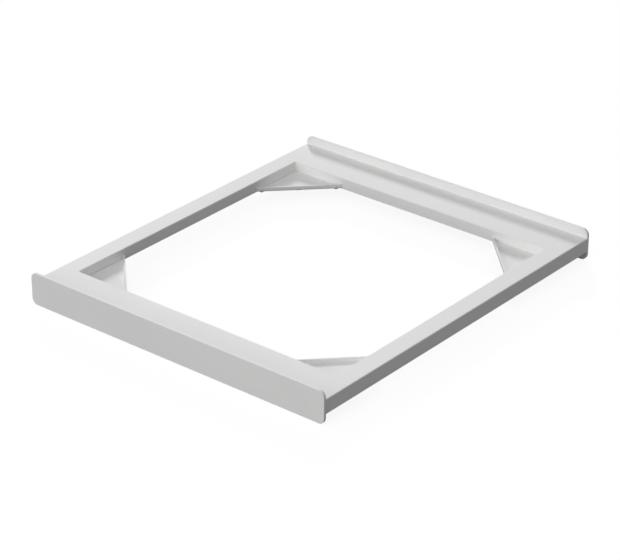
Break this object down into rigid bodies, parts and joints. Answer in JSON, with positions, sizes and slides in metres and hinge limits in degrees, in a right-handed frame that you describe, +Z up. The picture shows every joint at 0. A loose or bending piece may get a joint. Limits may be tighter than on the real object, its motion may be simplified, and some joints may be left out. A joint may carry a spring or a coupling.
{
  "type": "washer dryer stacking kit",
  "caption": "Low folded-steel frame that lies on a washing machine and carries a tumble dryer, with upright front and rear plates and a corner pocket for each foot.",
  "frame": {"origin": "middle of the footprint, level with the lower edges of the front and rear plates", "axes": "+X to the right seen from the front, +Y towards the rear plate, +Z up; the front plate faces -Y"},
  "size_m": [0.598, 0.686, 0.056],
  "materials": {
    "white_coat": "smooth satin white powder coat on sheet steel",
    "pad_rubber": "matt black rubber",
    "rivet_aluminium": "plain aluminium",
    "zinc_steel": "bright zinc plating"
  },
  "bodies": {
    "root": {"front_rail": "white_coat", "rear_rail": "white_coat", "left_rail": "white_coat", "right_rail": "white_coat", "front_plate": "white_coat", "rear_plate": "white_coat", "front_left_gusset": "white_coat", "front_right_gusset": "white_coat", "rear_right_gusset": "white_coat", "rear_left_gusset": "white_coat", "front_left_pad": "pad_rubber", "front_right_pad": "pad_rubber", "rear_right_pad": "pad_rubber", "rear_left_pad": "pad_rubber", "front_left_rivet_1": "rivet_aluminium", "front_left_rivet_2": "rivet_aluminium", "front_left_rivet_3": "rivet_aluminium", "front_left_rivet_4": "rivet_aluminium", "front_right_rivet_1": "rivet_aluminium", "front_right_rivet_2": "rivet_aluminium", "front_right_rivet_3": "rivet_aluminium", "front_right_rivet_4": "rivet_aluminium", "rear_right_rivet_1": "rivet_aluminium", "rear_right_rivet_2": "rivet_aluminium", "rear_right_rivet_3": "rivet_aluminium", "rear_right_rivet_4": "rivet_aluminium", "rear_left_rivet_1": "rivet_aluminium", "rear_left_rivet_2": "rivet_aluminium", "rear_left_rivet_3": "rivet_aluminium", "rear_left_rivet_4": "rivet_aluminium", "front_plate_screw_1": "zinc_steel", "front_plate_screw_2": "zinc_steel", "front_plate_screw_3": "zinc_steel", "front_plate_screw_4": "zinc_steel", "rear_plate_screw_1": "zinc_steel", "rear_plate_screw_2": "zinc_steel", "rear_plate_screw_3": "zinc_steel", "rear_plate_screw_4": "zinc_steel"}
  },
  "joints": []
}
